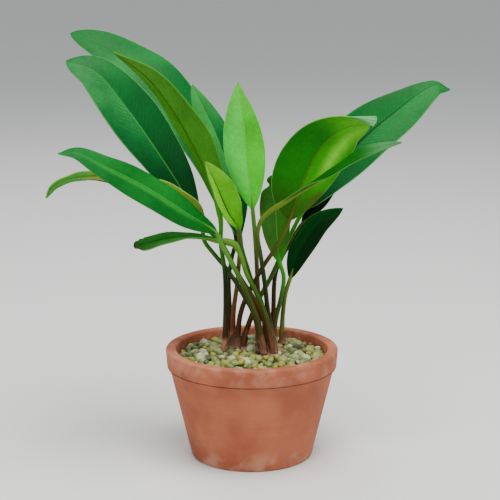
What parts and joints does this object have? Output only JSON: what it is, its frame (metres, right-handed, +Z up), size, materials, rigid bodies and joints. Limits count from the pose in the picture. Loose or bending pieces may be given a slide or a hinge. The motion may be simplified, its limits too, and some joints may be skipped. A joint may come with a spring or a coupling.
{
  "type": "potted anubias",
  "caption": "Leafy water plant with long oval blades on slender stalks, growing from a creeping stem in a bed of pale gravel, held in a plain round terracotta pot.",
  "frame": {"origin": "middle of the pot's flat underside", "axes": "+Z up along the pot's axis, -Y towards the side from which the plant is seen best, +X to the right from there"},
  "size_m": [0.2817, 0.1342, 0.2969],
  "materials": {
    "pot": "matte",
    "gravel": "matte",
    "rhizome": "matte",
    "leaf_back_left": "satin",
    "leaf_big_left": "satin",
    "leaf_leaning": "satin",
    "leaf_behind": "satin",
    "leaf_centre": "satin",
    "leaf_low_left": "satin",
    "leaf_lowest_left": "satin",
    "leaf_folded": "satin",
    "leaf_young": "satin",
    "leaf_broad_right": "satin",
    "leaf_back_right": "satin",
    "leaf_front_right": "satin",
    "leaf_small_right": "satin",
    "leaf_upright": "satin",
    "leaf_hidden_right": "satin"
  },
  "bodies": {
    "root": {"pot": "pot", "gravel": "gravel", "rhizome": "rhizome", "leaf_back_left": "leaf_back_left", "leaf_big_left": "leaf_big_left", "leaf_leaning": "leaf_leaning", "leaf_behind": "leaf_behind", "leaf_centre": "leaf_centre", "leaf_low_left": "leaf_low_left", "leaf_lowest_left": "leaf_lowest_left", "leaf_folded": "leaf_folded", "leaf_young": "leaf_young", "leaf_broad_right": "leaf_broad_right", "leaf_back_right": "leaf_back_right", "leaf_front_right": "leaf_front_right", "leaf_small_right": "leaf_small_right", "leaf_upright": "leaf_upright", "leaf_hidden_right": "leaf_hidden_right"}
  },
  "joints": []
}
